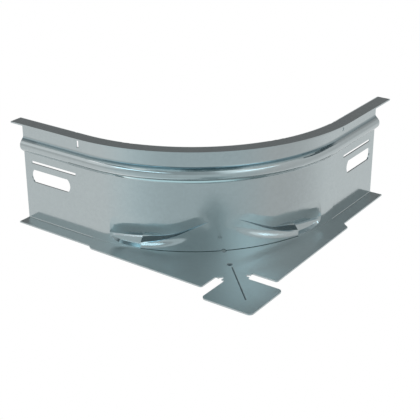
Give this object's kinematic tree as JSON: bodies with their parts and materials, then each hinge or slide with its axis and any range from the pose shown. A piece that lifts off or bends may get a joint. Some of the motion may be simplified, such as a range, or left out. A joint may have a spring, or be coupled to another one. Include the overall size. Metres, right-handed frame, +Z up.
{
  "type": "cable tray bend",
  "caption": "Curved inner corner piece for a cable tray bend: a rolled side wall with a rim and bead on a flat floor plate with a square fixing tab.",
  "frame": {"origin": "middle of the piece's own box, on the underside of the floor plate", "axes": "+Z up; one straight leg runs along -X and the other along +Y, each with its front face towards -Y and +X; the piece is the same on both sides of the vertical plane X = -Y"},
  "size_m": [0.164, 0.164, 0.061],
  "materials": {
    "galvanised_steel": "smooth strip-galvanised sheet, satin to bright"
  },
  "bodies": {
    "root": {"corner_piece": "galvanised_steel"}
  },
  "joints": []
}
